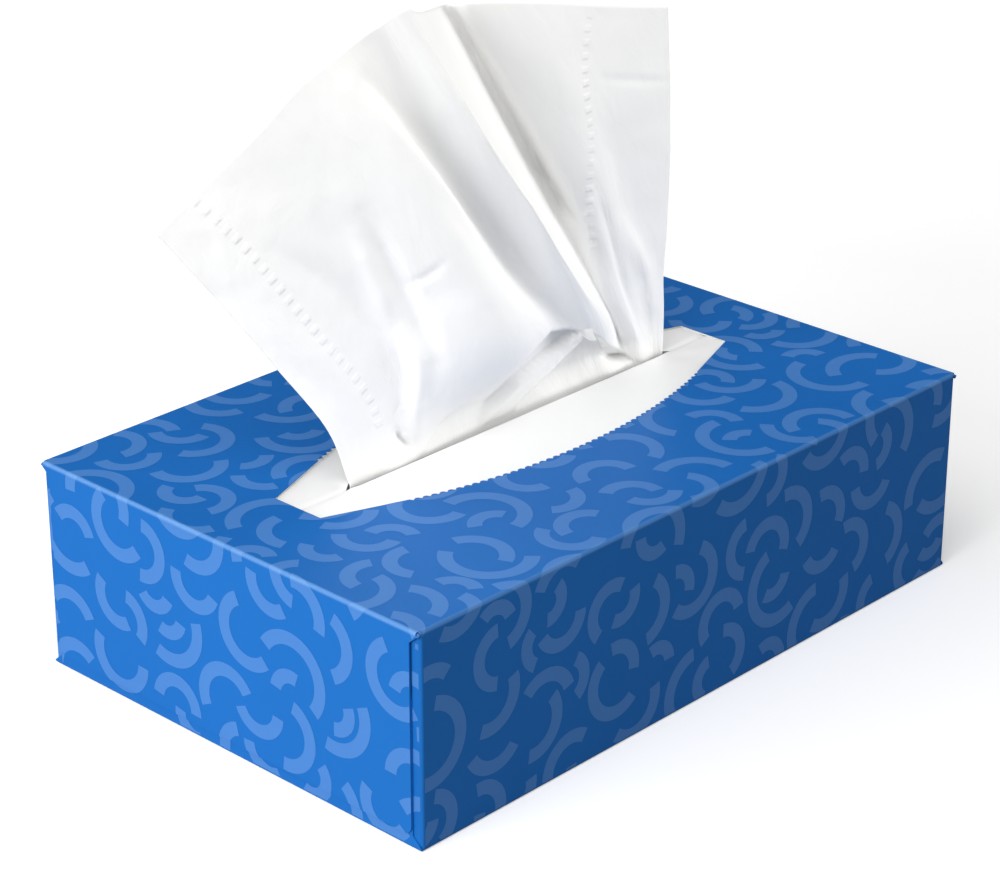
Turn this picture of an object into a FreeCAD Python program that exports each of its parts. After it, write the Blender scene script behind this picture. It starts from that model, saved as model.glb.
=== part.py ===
import FreeCAD, Part
import math
import os
import Sketcher

Vector = FreeCAD.Vector
os.makedirs("parts", exist_ok=True)
doc = FreeCAD.newDocument("TissueBox")

# Driving dimensions, millimetres
sizes = doc.addObject("Spreadsheet::Sheet", "sizes")
driving = [
    ("carton_length", 210, "over both outer end flaps"),
    ("carton_width", 137.5, "front panel to back panel, outside"),
    ("carton_height", 59.2, "base to top panel, outside"),
    ("board", 0.45, "thickness of the folding board"),
    ("crease_radius", 0.8, "outer radius of every fold"),
    ("flap_side_gap", 3, "outer end flap to the vertical fold, each side"),
    ("flap_base_gap", 3.7, "outer end flap's lower edge above the base"),
    ("flap_corner", 2.5, "radius of the flap's lower corners"),
    ("flap_relief", 2.6, "height over which the flap runs in from the fold"),
    ("inner_flap_height", 42, "end flap that comes up from the base"),
    ("dust_flap_depth", 48, "end flaps that fold in from front and back"),
    ("opening_length", 157, "mouth in the top panel, between its short ends"),
    ("opening_width", 51.6, "mouth at its widest"),
    ("opening_end", 16.4, "width of each short straight end"),
    ("curve_length", 114, "length of the toothed curve, end to end"),
    ("curve_end_width", 32.4, "width of the mouth where the curves end"),
    ("nick_pitch", 2.4, "spacing of the torn perforation nicks"),
    ("nick_depth", 0.8, "depth of a nick"),
    ("film_lap", 9, "glued film beyond the mouth, each side"),
    ("film_thickness", 0.15, "film under the top panel"),
    ("film_corner", 4, "radius of the film's corners"),
    ("slit_length", 128, "slit along the film's middle"),
    ("slit_width", 3.2, "slit pressed open by the tissue"),
    ("slit_taper", 6, "length over which each end of the slit closes"),
    ("headspace", 7.5, "pile to film"),
    ("end_clearance", 5.65, "pile to the end flaps inside"),
    ("side_clearance", 5.5, "pile to the long walls inside"),
    ("pile_fold", 3, "rounding of the folded edges of the pile"),
    ("ply", 0.4, "drawn thickness of one tissue"),
    ("foot_clearance", 3.2, "tissue's edge to the slit's end"),
    ("lip_clearance", 0.3, "gathered tissue to the slit's lips"),
    ("lay_gap", 0.1, "lying tissue to the pile"),
    ("lay_fold", 0.6, "radius of the lying tissue's rear fold"),
    ("lay_bend", 3.5, "radius where the tissue turns up to the slit"),
    ("lay_return", 72, "length folded back under, from the rear fold"),
]
for row, (alias, value, note) in enumerate(driving, 1):
    sizes.set("A%d" % row, alias)
    sizes.set("B%d" % row, str(value))
    sizes.set("C%d" % row, note)
    sizes.setAlias("B%d" % row, alias)
doc.recompute()


def size(expression):
    """Value of an expression over the driving dimensions."""
    result = sizes.evalExpression(expression)
    return float(getattr(result, "Value", result))


def linked(expression):
    """The same expression as another object has to write it."""
    out = expression
    for alias in sorted((name for name, _, _ in driving), key=len, reverse=True):
        out = out.replace(alias, "<<" + alias + ">>")
    return out.replace("<<", "sizes.").replace(">>", "")


def new_body(name):
    body = doc.addObject("PartDesign::Body", name)
    body.Label = name
    body.Placement = FreeCAD.Placement()
    return body


def new_sketch(body, name, role, offset=None, shift=None):
    """Sketch on one of the body's own planes, moved along and across it by expressions."""
    sketch = body.newObject("Sketcher::SketchObject", name)
    plane = [item for item in body.Origin.OriginFeatures if item.Role == role][0]
    sketch.AttachmentSupport = (plane, "")
    sketch.MapMode = "FlatFace"
    if offset:
        sketch.setExpression("AttachmentOffset.Base.z", linked(offset))
    if shift:
        sketch.setExpression("AttachmentOffset.Base.y", linked(shift))
    return sketch


def fix_point(sketch, geometry, end, x, y):
    """Tie one end of a sketch element to its place, written over the sheet's cells."""
    for kind, text, axis in (("DistanceX", x, -2), ("DistanceY", y, -1)):
        value = size(text)
        if abs(value) < 1e-9:
            sketch.addConstraint(Sketcher.Constraint("PointOnObject", geometry, end, axis))
        else:
            constraint = Sketcher.Constraint(kind, -1, 1, geometry, end, value)
            index = sketch.addConstraint(constraint)
            sketch.setExpression("Constraints[%d]" % index, linked(text))


def arc_between(start, stop, radius, side):
    """Short arc of a given radius; side 1 bulges to the left of the way from start to stop."""
    chord = stop.sub(start)
    middle = (start + stop) * 0.5
    across = Vector(-chord.y, chord.x, 0).normalize() * side
    rise = radius - math.sqrt(max(radius ** 2 - (chord.Length / 2) ** 2, 0))
    return Part.Arc(start, middle + across * rise, stop)


def outline(sketch, corners):
    """Closed outline: (x, y) corners, or (x, y, radius, side) for an arc to the next corner."""
    points = [Vector(size(c[0]), size(c[1]), 0) for c in corners]
    first = sketch.GeometryCount
    count = len(corners)
    ends = []
    for i, corner in enumerate(corners):
        start, stop = points[i], points[(i + 1) % count]
        if len(corner) == 2:
            curve = Part.LineSegment(start, stop)
        else:
            curve = arc_between(start, stop, size(corner[2]), corner[3])
        index = sketch.addGeometry(curve, False)
        forward = sketch.Geometry[index].StartPoint.distanceToPoint(start) < 1e-6
        ends.append((1, 2) if forward else (2, 1))
    for i, corner in enumerate(corners):
        following = (i + 1) % count
        pair = Sketcher.Constraint(
            "Coincident", first + i, ends[i][1], first + following, ends[following][0])
        sketch.addConstraint(pair)
        fix_point(sketch, first + i, ends[i][0], corner[0], corner[1])
        if len(corner) == 4:
            radius = Sketcher.Constraint("Radius", first + i, size(corner[2]))
            index = sketch.addConstraint(radius)
            sketch.setExpression("Constraints[%d]" % index, linked(corner[2]))


def rounded_rectangle(sketch, half_x, half_y, radius):
    """Rectangle about the origin with four equal round corners."""
    x, y, r = "(" + half_x + ")", "(" + half_y + ")", "(" + radius + ")"
    corners = []
    for sx, sy in ((1, -1), (1, 1), (-1, 1), (-1, -1)):
        along_x = ("%d * (%s - %s)" % (sx, x, r), "%d * %s" % (sy, y))
        along_y = ("%d * %s" % (sx, x), "%d * (%s - %s)" % (sy, y, r))
        before, after = (along_x, along_y) if sx * sy < 0 else (along_y, along_x)
        corners += [before + (r, -1), after]
    outline(sketch, corners)


def pad(body, name, sketch, length, both=False, backwards=False):
    feature = body.newObject("PartDesign::Pad", name)
    feature.Profile = sketch
    feature.SideType = "Symmetric" if both else "One side"
    feature.Reversed = backwards
    feature.setExpression("Length", linked(length))
    return feature


def pocket(body, name, sketch, length, both=False, backwards=False):
    feature = body.newObject("PartDesign::Pocket", name)
    feature.Profile = sketch
    feature.SideType = "Symmetric" if both else "One side"
    feature.Reversed = backwards
    feature.setExpression("Length", linked(length))
    return feature


# Faces of the three board layers at each end, from the outside in
outer_face = "(carton_length / 2)"
inner_flap_face = "(carton_length / 2 - board)"
dust_face = "(carton_length / 2 - 2 * board)"
inside_face = "(carton_length / 2 - 3 * board)"
half_width = "(carton_width / 2)"
spare = "5"  # how far cutting outlines reach past the board


def build_carton():
    """One blank, folded to a tube, with three glued flap layers at each end."""
    body = new_body("carton")

    ring = new_sketch(body, "tube_section", "YZ_Plane")
    rounded_rectangle(ring, half_width, "carton_height / 2", "crease_radius")
    rounded_rectangle(
        ring, half_width + " - board", "carton_height / 2 - board", "crease_radius - board")
    ring.setExpression("AttachmentOffset.Base.y", linked("carton_height / 2"))
    pad(body, "tube", ring, "2 * " + dust_face, both=True)

    # the top panel turns down into the outer flap over its fold
    lap = dust_face + " - 2 * crease_radius"
    top_bend = new_sketch(body, "top_bend_section", "XZ_Plane")
    outline(top_bend, [
        (lap, "carton_height"),
        (outer_face + " - crease_radius", "carton_height", "crease_radius", 1),
        (outer_face, "carton_height - crease_radius"),
        (inner_flap_face, "carton_height - crease_radius"),
        (inner_flap_face, "carton_height - board"),
        (lap, "carton_height - board"),
    ])
    top_fold = pad(body, "top_fold", top_bend, "carton_width", both=True)

    flap = new_sketch(body, "outer_flap_outline", "YZ_Plane", offset=inner_flap_face)
    fold_level = "(carton_height - crease_radius)"
    edge = "(carton_width / 2 - flap_side_gap)"
    outline(flap, [
        (half_width, fold_level),
        ("-" + half_width, fold_level),
        ("-" + edge, fold_level + " - flap_relief"),
        ("-" + edge, "flap_base_gap + flap_corner", "flap_corner", -1),
        ("-" + edge + " + flap_corner", "flap_base_gap"),
        (edge + " - flap_corner", "flap_base_gap", "flap_corner", -1),
        (edge, "flap_base_gap + flap_corner"),
        (edge, fold_level + " - flap_relief"),
    ])
    outer_flap = pad(body, "outer_flap", flap, "board")

    # the base turns up into the inner flap, behind the outer one
    bottom_bend = new_sketch(body, "bottom_bend_section", "XZ_Plane")
    outline(bottom_bend, [
        (lap, "0"),
        (inner_flap_face + " - crease_radius", "0", "crease_radius", -1),
        (inner_flap_face, "crease_radius"),
        (dust_face, "crease_radius"),
        (dust_face, "board"),
        (lap, "board"),
    ])
    bottom_fold = pad(body, "bottom_fold", bottom_bend, "carton_width", both=True)

    tongue = new_sketch(body, "inner_flap_outline", "YZ_Plane", offset=dust_face)
    outline(tongue, [
        (half_width, "crease_radius"),
        (edge, "crease_radius + flap_relief"),
        (edge, "inner_flap_height - flap_corner", "flap_corner", -1),
        (edge + " - flap_corner", "inner_flap_height"),
        ("-" + edge + " + flap_corner", "inner_flap_height", "flap_corner", -1),
        ("-" + edge, "inner_flap_height - flap_corner"),
        ("-" + edge, "crease_radius + flap_relief"),
        ("-" + half_width, "crease_radius"),
    ])
    inner_flap = pad(body, "inner_flap", tongue, "board")

    # dust flaps fold in from the front and back panels
    dust = new_sketch(body, "dust_flap_outlines", "YZ_Plane", offset=inside_face)
    for side in ("-", ""):
        wall = side + "(carton_width / 2 - board / 2)"
        tip = side + "(carton_width / 2 - dust_flap_depth)"
        root = side + "(carton_width / 2 - dust_flap_depth / 2)"
        outline(dust, [
            (wall, "board / 2"),
            (wall, "carton_height - board / 2"),
            (root, "carton_height - board / 2"),
            (tip, "carton_height - board - flap_base_gap"),
            (tip, "board + flap_base_gap"),
            (root, "board / 2"),
        ])
    dust_flaps = pad(body, "dust_flaps", dust, "board")

    # rounded vertical folds where the dust flaps turn in
    corner = new_sketch(body, "vertical_fold_trim", "XY_Plane", offset="board")
    for side, turn in (("-", 1), ("", -1)):
        outline(corner, [
            (dust_face + " - crease_radius", side + half_width, "crease_radius", -turn),
            (dust_face, side + "(carton_width / 2 - crease_radius)"),
            (dust_face + " + board / 2", side + "(carton_width / 2 - crease_radius)"),
            (dust_face + " + board / 2", side + "(carton_width / 2 + board)"),
            (dust_face + " - crease_radius", side + "(carton_width / 2 + board)"),
        ])
    vertical_folds = pocket(
        body, "vertical_folds", corner, "carton_height - 2 * board", backwards=True)

    ends = body.newObject("PartDesign::Mirrored", "both_ends")
    ends.Originals = [
        top_fold, outer_flap, bottom_fold, inner_flap, dust_flaps, vertical_folds]
    middle = [item for item in body.Origin.OriginFeatures if item.Role == "YZ_Plane"][0]
    ends.MirrorPlane = (middle, [""])
    body.Tip = ends

    # the long folds stay round right to the ends
    trim = new_sketch(body, "long_fold_trim", "YZ_Plane")
    trim.setExpression("AttachmentOffset.Base.y", linked("carton_height / 2"))
    rounded_rectangle(trim, half_width, "carton_height / 2", "crease_radius")
    rounded_rectangle(
        trim, half_width + " + " + spare, "carton_height / 2 + " + spare, "crease_radius")
    pocket(body, "long_folds", trim, "carton_length + 2 * board", both=True)

    cut_mouth(body)
    return body


# radius of the toothed curve, from its length and its rise
curve_rise = "((opening_width - curve_end_width) / 2)"
curve_radius = "((curve_length ^ 2 / 4 + " + curve_rise + " ^ 2) / (2 * " + curve_rise + "))"


def cut_mouth(body):
    """Leaf-shaped mouth with two straight ends and torn nicks along both curves."""
    mouth = new_sketch(body, "mouth_outline", "XY_Plane", offset="carton_height")
    tip, tip_half = "opening_length / 2", "opening_end / 2"
    bow, bow_half = "curve_length / 2", "curve_end_width / 2"
    outline(mouth, [
        ("-" + tip, tip_half),
        ("-" + tip, "-" + tip_half),
        ("-" + bow, "-" + bow_half, curve_radius, -1),
        (bow, "-" + bow_half),
        (tip, "-" + tip_half),
        (tip, tip_half),
        (bow, bow_half, curve_radius, -1),
        ("-" + bow, bow_half),
    ])
    pocket(body, "mouth", mouth, "2 * board")

    # nicks: one triangle at the curve's end, repeated about the curve's centre
    half_turn = math.asin(size("curve_length") / 2 / size(curve_radius))
    count = int(2 * half_turn * size(curve_radius) / size("nick_pitch"))
    for name, side in (("front", "-"), ("back", "")):
        shift = side + "(opening_width / 2 - " + curve_radius + ")"
        nick = new_sketch(body, name + "_nick", "XY_Plane", offset="carton_height", shift=shift)
        angle = "asin(curve_length / 2 / " + curve_radius + ")"
        deep = "(" + curve_radius + " + nick_depth)"
        start = "(" + curve_radius + " - nick_depth / 2)"
        step = "(nick_pitch / " + curve_radius + " * 180 / pi * 1deg)"
        near = "(" + angle + " - " + step + ")"
        mid = "(" + angle + " - " + step + " / 2)"
        outline(nick, [
            (start + " * sin(" + angle + ")", side + start + " * cos(" + angle + ")"),
            (deep + " * sin(" + mid + ")", side + deep + " * cos(" + mid + ")"),
            (start + " * sin(" + near + ")", side + start + " * cos(" + near + ")"),
        ])
        tooth = pocket(body, name + "_nick_cut", nick, "2 * board")
        row = body.newObject("PartDesign::PolarPattern", name + "_nicks")
        row.Originals = [tooth]
        row.Axis = (nick, ["N_Axis"])
        row.Mode = "Spacing"
        row.Reversed = side == "-"
        row.Occurrences = count
        row.setExpression("Offset", linked(step))
        body.Tip = row


def build_film():
    """Clear-edged film glued under the top panel, slit along its middle."""
    body = new_body("slit_film")
    sheet = new_sketch(body, "film_outline", "XY_Plane", offset="carton_height - board")
    rounded_rectangle(
        sheet, "opening_length / 2 + film_lap", "opening_width / 2 + film_lap", "film_corner")
    lip, tip, reach = "slit_width / 2", "slit_length / 2", "(slit_length / 2 - slit_taper)"
    outline(sheet, [
        ("-" + tip, "0"),
        ("-" + reach, "-" + lip),
        (reach, "-" + lip),
        (tip, "0"),
        (reach, lip),
        ("-" + reach, lip),
    ])
    pad(body, "film", sheet, "film_thickness", backwards=True)
    return body


pile_width = "(carton_width - 2 * board - 2 * side_clearance)"
pile_length = "(carton_length - 6 * board - 2 * end_clearance)"
pile_top = "(carton_height - board - film_thickness - headspace)"


def build_pile():
    """Interfolded tissues, pressed to one block with rounded folded edges."""
    body = new_body("tissue_stack")
    section = new_sketch(body, "pile_section", "YZ_Plane")
    section.setExpression("AttachmentOffset.Base.y", linked("(board + " + pile_top + ") / 2"))
    rounded_rectangle(
        section, pile_width + " / 2", "(" + pile_top + " - board) / 2", "pile_fold")
    pad(body, "pile", section, pile_length, both=True)
    return body


# The raised tissue is drawn over ribs, which run from the slit to its top edge.
# Each rib: place along the slit and sway between its lips, both as shares, then
# four points up the sheet as (x, y, height over the carton), for a sheet 196 wide.
drawn_width = 196
columns = 21  # strips' edges across the sheet
levels = 5  # poles of each edge, from the slit to the top
ribs = [
    ("left_edge", -0.99, 0.2, (-64.5, 4, 16), (-73.5, 12, 33), (-84, 20, 51), (-96.5, 28, 70.5)),
    ("left_band", -0.83, 0.0, (-53, 3, 19), (-63, 9, 39), (-75, 16, 60), (-88, 24, 79)),
    ("left_panel", -0.70, -0.8, (-41, 1, 23), (-47, 6, 46), (-58, 12, 71), (-71, 19, 92)),
    ("belly", -0.43, 0.4, (-27, -6, 23), (-33, -1, 47), (-45, 6, 75), (-61, 15, 102)),
    ("left_ridge", -0.02, 1.0, (-10, -9, 25), (-21, -5, 51), (-35, 2, 79), (-51, 12, 108.5)),
    ("dent", 0.36, 1.0, (12, -3, 23), (0, 2, 45), (-20, 5, 76), (-39, 11, 113.5)),
    ("lobe_ridge", 0.56, 0.6, (22, -7, 24), (6, -7, 50), (-14, -3, 83), (-33, 6, 118)),
    ("lobe_lip", 0.66, 0.0, (31, -5, 19), (16, -4, 40), (-4, 0, 73), (-25.5, 8, 115)),
    ("valley", 0.76, 0.8, (43, 5, 16), (37, 13, 39), (19, 16, 69), (-5, 20, 110)),
    ("valley_side", 0.82, 0.2, (41.5, 2, 20), (30.5, 5, 47), (17, 10, 76), (-1, 15, 111)),
    ("right_panel", 0.87, -0.5, (43, 0, 25), (36, 1, 51), (29, 4, 77), (19, 9, 108)),
    ("right_band", 0.95, 0.3, (54, 2, 20), (48, 3, 48), (41, 4, 75), (39, 6, 103.5)),
    ("right_edge", 1.0, 0.0, (61.5, 1, 21), (64.5, 2, 43.5), (65, 3, 72), (64.5, 4, 98)),
]


def rib_grid():
    """Points of the raised sheet: one row per rib, from the slit to the top edge."""
    scale = size(pile_length) / drawn_width
    top = size("carton_height")
    half_foot = size("slit_length") / 2 - size("foot_clearance")
    sway = size("slit_width / 2 - ply / 2 - lip_clearance")
    foot_level = size("carton_height - board + lip_clearance")
    grid = []
    for name, along, lean, *points in ribs:
        row = [Vector(along * half_foot, lean * sway, foot_level)]
        row += [Vector(x * scale, y * scale, top + z * scale) for x, y, z in points]
        grid.append(row)
    return grid


def through(points, place):
    """Point on the smooth line through a list of points; place counts along the list."""
    last = len(points) - 1
    i = min(int(place), last - 1)
    f = place - i
    p1, p2 = points[i], points[i + 1]
    p0 = points[i - 1] if i > 0 else p1 * 2 - p2
    p3 = points[i + 2] if i + 2 <= last else p2 * 2 - p1
    bend = (p1 - p2) * 3 + p3 - p0
    ease = p0 * 2 - p1 * 5 + p2 * 4 - p3
    return p1 + ((p2 - p0) * f + ease * f ** 2 + bend * f ** 3) * 0.5


def rib_curve(points):
    """Smooth curve up the sheet, held at the slit and at the top edge."""
    spans = len(points) - 3
    knots = [i / spans for i in range(spans + 1)]
    curve = Part.BSplineCurve()
    curve.buildFromPolesMultsKnots(points, [4] + [1] * (spans - 1) + [4], knots, False, 3)
    return curve


def ruled(first, second):
    """Face of straight lines between two curves that run the same way."""
    return first.makeRuledSurface(second).toShape()


def fine_grid(grid, across=columns, up=levels):
    """The ribs' points, filled in smoothly across the sheet and up it."""
    wide = []
    for i in range(across):
        place = i * (len(grid) - 1) / (across - 1)
        wide.append([through([row[k] for row in grid], place) for k in range(len(grid[0]))])
    return [[through(row, j * (len(row) - 1) / (up - 1)) for j in range(up)] for row in wide]


def offset_grid(grid, distance):
    """Points beside the sheet, at one distance along its normals."""
    moved = []
    for i, row in enumerate(grid):
        before, after = grid[max(i - 1, 0)], grid[min(i + 1, len(grid) - 1)]
        line = []
        for j, point in enumerate(row):
            along = row[min(j + 1, len(row) - 1)] - row[max(j - 1, 0)]
            normal = (after[j] - before[j]).cross(along).normalize()
            line.append(point + normal * distance)
        moved.append(line)
    return moved


def lying_rows(grid):
    """Rows of the hidden lower half: down through the slit, back over the pile, and under."""
    tops = [row[-1] for row in grid]
    run = [0.0]
    for before, after in zip(tops, tops[1:]):
        run.append(run[-1] + after.distanceToPoint(before))
    width = size(pile_length) - 2 * size("ply")
    spread = [width * (place / run[-1] - 0.5) for place in run]
    half_ply, fold, bend = size("ply / 2"), size("lay_fold"), size("lay_bend")
    lower = size(pile_top) + size("lay_gap") + half_ply
    upper = lower + 2 * fold
    rear = size(pile_width) / 2 - size("pile_fold") - fold
    front = rear - size("lay_return")
    corner = math.sqrt(0.5)
    # (share of the sway kept, y, z, share of the spread, normal y, normal z)
    path = [
        (1, 0, size("carton_height - board - film_thickness - lip_clearance"), 0, -1, 0),
        (0.3, 0, upper + bend, 0, -1, 0),
        (0, bend * (1 - corner), upper + bend * (1 - corner), 0.03, -corner, -corner),
        (0, bend, upper, 0.06, 0, -1),
        (0, rear, upper, 1, 0, -1),
        (0, rear + fold, lower + fold, 1, -1, 0),
        (0, rear, lower, 1, 0, 1),
        (0, front, lower, 1, 0, 1),
    ]
    rows = []
    for kept, y, z, share, normal_y, normal_z in path:
        row = []
        for rib, flat in zip(grid, spread):
            x = rib[0].x * (1 - share) + flat * share
            row.append((Vector(x, y + kept * rib[0].y, z), Vector(0, normal_y, normal_z)))
        rows.append(row)
    return rows


def line(start, stop):
    return Part.LineSegment(start, stop).toBSpline()


def build_raised():
    """One tissue, half raised through the slit and half still folded on the pile."""
    grid = fine_grid(rib_grid())
    half = size("ply / 2")
    lying = lying_rows(grid)
    faces = []
    skins = []
    for side in (1, -1):
        raised = offset_grid(grid, side * half)
        rows = [[edge[0] for edge in raised]]
        rows += [[point + normal * side * half for point, normal in row] for row in lying]
        skins.append({"curves": [rib_curve(edge) for edge in raised], "rows": rows})
    for skin in skins:
        curves, rows = skin["curves"], skin["rows"]
        for i in range(columns - 1):
            faces.append(ruled(curves[i], curves[i + 1]))
            for near, far in zip(rows, rows[1:]):
                faces.append(ruled(line(near[i], near[i + 1]), line(far[i], far[i + 1])))
    front, back = skins
    for i in range(columns - 1):
        tops = [line(skin["curves"][i].EndPoint, skin["curves"][i + 1].EndPoint) for skin in skins]
        ends = [line(skin["rows"][-1][i], skin["rows"][-1][i + 1]) for skin in skins]
        faces += [ruled(*tops), ruled(*ends)]
    for i in (0, columns - 1):
        faces.append(ruled(front["curves"][i], back["curves"][i]))
        for k in range(len(lying)):
            sides = [line(skin["rows"][k][i], skin["rows"][k + 1][i]) for skin in skins]
            faces.append(ruled(*sides))
    shell = Part.makeShell(faces)
    shell.sewShape()
    solid = Part.makeSolid(Part.Shell(shell.Faces))
    if solid.Volume < 0:
        solid.reverse()
    feature = doc.addObject("Part::Feature", "raised_tissue")
    feature.Label = "raised_tissue"
    feature.Shape = solid
    feature.Placement = FreeCAD.Placement()
    return feature


nodes = [build_carton(), build_film(), build_pile(), build_raised()]
doc.recompute()

for item in doc.Objects:
    if "Invalid" in item.State or "Error" in item.State:
        raise RuntimeError("%s did not build" % item.Label)
for node in nodes:
    shape = node.Shape
    if shape.isNull() or not shape.isValid() or len(shape.Solids) != 1:
        raise RuntimeError("%s is not one sound solid" % node.Label)
    shape.exportStep(os.path.join("parts", node.Label + ".step"))
    box = shape.BoundBox
    print("%-14s %10.1f mm3  x %.1f..%.1f  y %.1f..%.1f  z %.2f..%.2f" % (
        node.Label, shape.Volume, box.XMin, box.XMax, box.YMin, box.YMax, box.ZMin, box.ZMax))
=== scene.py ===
import math
import random

import bmesh
import bpy
import numpy as np
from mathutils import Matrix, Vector, geometry, noise


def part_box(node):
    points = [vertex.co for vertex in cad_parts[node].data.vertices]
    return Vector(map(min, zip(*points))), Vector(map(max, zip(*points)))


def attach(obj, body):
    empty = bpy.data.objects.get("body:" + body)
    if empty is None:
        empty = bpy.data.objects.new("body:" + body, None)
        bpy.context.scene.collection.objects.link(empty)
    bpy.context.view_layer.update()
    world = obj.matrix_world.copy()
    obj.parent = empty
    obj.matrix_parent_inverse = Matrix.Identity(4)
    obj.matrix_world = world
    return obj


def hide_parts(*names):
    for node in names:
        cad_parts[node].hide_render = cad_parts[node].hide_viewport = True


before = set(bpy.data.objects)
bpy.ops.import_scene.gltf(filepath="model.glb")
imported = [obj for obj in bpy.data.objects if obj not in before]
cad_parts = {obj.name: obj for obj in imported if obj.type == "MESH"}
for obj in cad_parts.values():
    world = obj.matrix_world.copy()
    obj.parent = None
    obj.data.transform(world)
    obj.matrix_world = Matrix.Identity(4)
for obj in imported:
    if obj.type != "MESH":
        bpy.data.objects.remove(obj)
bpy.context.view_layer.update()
bpy.ops.object.select_all(action="DESELECT")
mm = 0.001
print("frame loaded")


# Camera, at the photograph's viewing angle
camera = {
    "place": (-0.5429, -0.5109, 0.3921),
    "azimuth": -46.467,      # degrees
    "elevation": 24.582,
    "lens": 110.2,           # mm, for a sensor of this width
    "sensor": 36,
    "clipStart": 0.01,
}


def addCamera():
    turn = (math.radians(90 - camera["elevation"]), 0, math.radians(camera["azimuth"]))
    bpy.ops.object.camera_add(location=camera["place"], rotation=turn)
    eye = bpy.context.object
    eye.data.lens = camera["lens"]
    eye.data.sensor_width = camera["sensor"]
    eye.data.clip_start = camera["clipStart"]
    bpy.context.scene.camera = eye
    print("camera set")


# Helpers for node materials
def newMaterial(name):
    material = bpy.data.materials.new(name)
    material.use_nodes = True
    nodes = material.node_tree.nodes
    return material, nodes, material.node_tree.links, nodes["Principled BSDF"]


def addMath(nodes, links, operation, first, second=None):
    node = nodes.new("ShaderNodeMath")
    node.operation = operation
    for i, value in enumerate((first, second)):
        if value is None:
            continue
        if isinstance(value, (int, float)):
            node.inputs[i].default_value = value
        else:
            links.new(value, node.inputs[i])
    return node.outputs[0]


grainForm = {"fibreDetail": 4, "fibreRoughness": 0.62, "cloudDetail": 2}


def paperGrainGroup():
    # fine fibres and a slow cloudiness, shared by board, film and tissue
    group = bpy.data.node_groups.new("paperGrain", "ShaderNodeTree")
    face = group.interface
    face.new_socket("Vector", in_out="INPUT", socket_type="NodeSocketVector")
    face.new_socket("Fibre Scale", in_out="INPUT", socket_type="NodeSocketFloat")
    face.new_socket("Cloud Scale", in_out="INPUT", socket_type="NodeSocketFloat")
    face.new_socket("Fibre", in_out="OUTPUT", socket_type="NodeSocketFloat")
    face.new_socket("Cloud", in_out="OUTPUT", socket_type="NodeSocketFloat")
    nodes, links = group.nodes, group.links
    inside = nodes.new("NodeGroupInput")
    outside = nodes.new("NodeGroupOutput")
    fibre = nodes.new("ShaderNodeTexNoise")
    fibre.inputs["Detail"].default_value = grainForm["fibreDetail"]
    fibre.inputs["Roughness"].default_value = grainForm["fibreRoughness"]
    cloud = nodes.new("ShaderNodeTexNoise")
    cloud.inputs["Detail"].default_value = grainForm["cloudDetail"]
    links.new(inside.outputs["Vector"], fibre.inputs["Vector"])
    links.new(inside.outputs["Vector"], cloud.inputs["Vector"])
    links.new(inside.outputs["Fibre Scale"], fibre.inputs["Scale"])
    links.new(inside.outputs["Cloud Scale"], cloud.inputs["Scale"])
    links.new(fibre.outputs["Fac"], outside.inputs["Fibre"])
    links.new(cloud.outputs["Fac"], outside.inputs["Cloud"])
    return group


grainGroup = paperGrainGroup()


def addGrain(nodes, links, vector, fibreScale, cloudScale):
    grain = nodes.new("ShaderNodeGroup")
    grain.node_tree = grainGroup
    grain.inputs["Fibre Scale"].default_value = fibreScale
    grain.inputs["Cloud Scale"].default_value = cloudScale
    links.new(vector, grain.inputs["Vector"])
    return grain


def addBump(nodes, links, height, shader, relief):
    bump = nodes.new("ShaderNodeBump")
    bump.inputs["Strength"].default_value, bump.inputs["Distance"].default_value = relief
    links.new(height, bump.inputs["Height"])
    links.new(bump.outputs["Normal"], shader.inputs["Normal"])


def mixColours(nodes, links, factor, first, second):
    # a colour is three numbers, or a socket that brings one
    mix = nodes.new("ShaderNodeMix")
    mix.data_type = "RGBA"
    for name, colour in (("A", first), ("B", second)):
        if isinstance(colour, bpy.types.NodeSocket):
            links.new(colour, mix.inputs[name])
        else:
            mix.inputs[name].default_value = (*colour, 1)
    links.new(factor, mix.inputs["Factor"])
    return mix.outputs["Result"]


def mapRange(nodes, links, value, ends, to=(0, 1), kind="LINEAR"):
    node = nodes.new("ShaderNodeMapRange")
    node.interpolation_type = kind
    node.inputs["From Min"].default_value, node.inputs["From Max"].default_value = ends
    node.inputs["To Min"].default_value, node.inputs["To Max"].default_value = to
    links.new(value, node.inputs["Value"])
    return node.outputs["Result"]


# Helpers for pieces
def newPiece(name, data, *materials):
    piece = bpy.data.objects.new(name, data)
    bpy.context.collection.objects.link(piece)
    for material in materials:
        data.materials.append(material)
    return piece


def meshFrom(mesh, name):
    data = bpy.data.meshes.new(name)
    mesh.to_mesh(data)
    mesh.free()
    return data


def smoothShell(piece, thickness, offset):
    bpy.context.view_layer.objects.active = piece
    piece.select_set(True)
    bpy.ops.object.shade_smooth()
    solid = piece.modifiers.new("thickness", "SOLIDIFY")
    solid.thickness = thickness * mm
    solid.offset = offset
    bpy.ops.object.modifier_apply(modifier="thickness")
    piece.select_set(False)


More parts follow.
